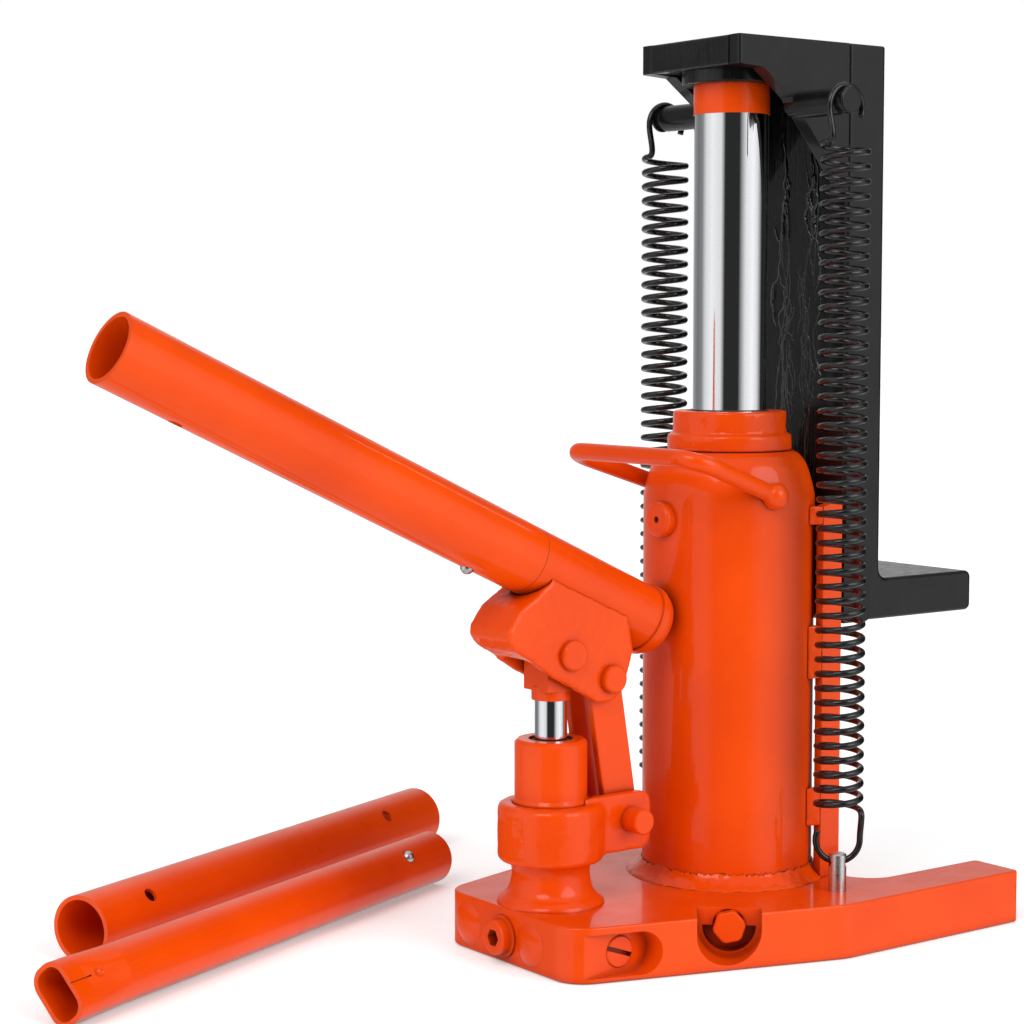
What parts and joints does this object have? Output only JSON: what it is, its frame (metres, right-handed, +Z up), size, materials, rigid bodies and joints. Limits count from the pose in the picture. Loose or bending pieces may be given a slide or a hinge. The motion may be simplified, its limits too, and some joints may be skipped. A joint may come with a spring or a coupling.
{
  "type": "hydraulic toe jack",
  "caption": "Hydraulic toe jack with a ram-driven lifting claw, floor-level toe, return springs, swivelling lever pump and loose handle sections.",
  "frame": {"origin": "on the floor under the ram's axis", "axes": "+Z up along the ram, +X towards the toe, +Y to the left of the jack"},
  "size_m": [0.6036, 0.417, 0.5346],
  "materials": {
    "orange_paint": "glossy orange powder paint",
    "black_paint": "semi-gloss black paint",
    "black_spring": "gloss black spring steel",
    "chrome": "polished hard chrome",
    "zinc": "zinc plated",
    "bare_steel": "machined",
    "seal_rubber": "matt",
    "spring_steel": "oiled"
  },
  "bodies": {
    "jack_base": {"base_plate": "orange_paint", "reservoir_body": "orange_paint", "pressure_cylinder": "bare_steel", "top_collar": "orange_paint", "ram_wiper_seal": "seal_rubber", "body_weld": "orange_paint", "carry_handle": "orange_paint", "filler_plug": "orange_paint", "guide_rail_left": "orange_paint", "guide_rail_right": "orange_paint", "rail_stitch_welds": "orange_paint", "slide_pad": "orange_paint", "spring_pin_left": "zinc", "spring_pin_right": "zinc", "pump_cylinder": "orange_paint", "pump_wiper_seal": "seal_rubber", "pump_weld": "orange_paint", "end_plug": "orange_paint", "passage_plugs": "orange_paint", "overload_screw": "orange_paint", "overload_spring": "spring_steel", "overload_ball": "bare_steel", "check_balls": "bare_steel", "release_ball": "bare_steel", "spring_left": "black_spring", "spring_right": "black_spring"},
    "lift": {"ram": "chrome", "ram_piston_seal": "seal_rubber", "ram_cap": "orange_paint", "lift_claw": "black_paint", "head_plate": "black_paint", "gusset_left": "black_paint", "gusset_right": "black_paint", "ram_socket_ring": "black_paint", "spring_peg_left": "black_paint", "spring_peg_right": "black_paint", "guide_shoe_left": "black_paint", "guide_shoe_right": "black_paint"},
    "release_valve": {"release_valve": "orange_paint"},
    "pump_swivel": {"pump_collar": "orange_paint", "link_pin": "orange_paint"},
    "links": {"link_left": "orange_paint", "link_right": "orange_paint"},
    "plunger": {"plunger": "chrome", "plunger_head": "orange_paint"},
    "handle": {"handle_clevis": "orange_paint", "socket_tube": "orange_paint", "socket_spigot": "bare_steel", "fulcrum_pin": "orange_paint", "plunger_pin": "orange_paint", "cotter_pins": "zinc", "button_spring": "spring_steel", "handle_tube": "orange_paint"},
    "snap_button": {"snap_button": "zinc"},
    "loose_sleeve": {"loose_sleeve": "orange_paint"},
    "lever": {"lever_tube": "orange_paint", "lever_button_spring": "spring_steel"},
    "lever_button": {"lever_button": "zinc"}
  },
  "joints": [
    {"name": "lift", "type": "slide", "parent": "jack_base", "child": "lift", "axis": [0, 0, 1], "range_m": [-0.175, 0], "deforming": ["spring_left", "spring_right"]},
    {"name": "release_valve_turn", "type": "hinge", "parent": "jack_base", "child": "release_valve", "pos_m": [-0.0752, -0.0883, 0.0216], "axis": [-0.648, -0.7616, 0], "range_deg": [0, 360]},
    {"name": "pump_turn", "type": "hinge", "parent": "jack_base", "child": "pump_swivel", "pos_m": [-0.136, 0, 0.074], "axis": [0, 0, 1], "range_deg": [-90, 90]},
    {"name": "link_swing", "type": "hinge", "parent": "pump_swivel", "child": "links", "pos_m": [-0.093, 0, 0.0784], "axis": [0, -1, 0], "range_deg": [-4, 1]},
    {"name": "handle_pump", "type": "hinge", "parent": "links", "child": "handle", "pos_m": [-0.107, 0, 0.1624], "axis": [0, -1, 0], "range_deg": [0, 42]},
    {"name": "plunger_stroke", "type": "slide", "parent": "pump_swivel", "child": "plunger", "axis": [0, 0, 1], "range_m": [-0.0215, 0.001]},
    {"name": "snap_button_press", "type": "slide", "parent": "handle", "child": "snap_button", "axis": [0.4258, 0, 0.9048], "range_m": [0, 0.004], "stiffness_N_per_m": 1500, "springref_m": -0.001, "deforming": ["button_spring"]},
    {"name": "sleeve_lift", "type": "slide", "parent": "jack_base", "child": "loose_sleeve", "axis": [0, 0, 1], "range_m": [0, 0.06]},
    {"name": "lever_lift", "type": "slide", "parent": "jack_base", "child": "lever", "axis": [0, 0, 1], "range_m": [0, 0.06]},
    {"name": "lever_button_press", "type": "slide", "parent": "lever", "child": "lever_button", "axis": [-0.3079, 0.7014, -0.6428], "range_m": [0, 0.004], "stiffness_N_per_m": 1500, "springref_m": -0.001, "deforming": ["lever_button_spring"]}
  ],
  "couplings": [
    {"joint": "link_swing", "follows": "handle_pump", "ratio": -0.074},
    {"joint": "plunger_stroke", "follows": "handle_pump", "m_per_rad": -0.0284}
  ]
}
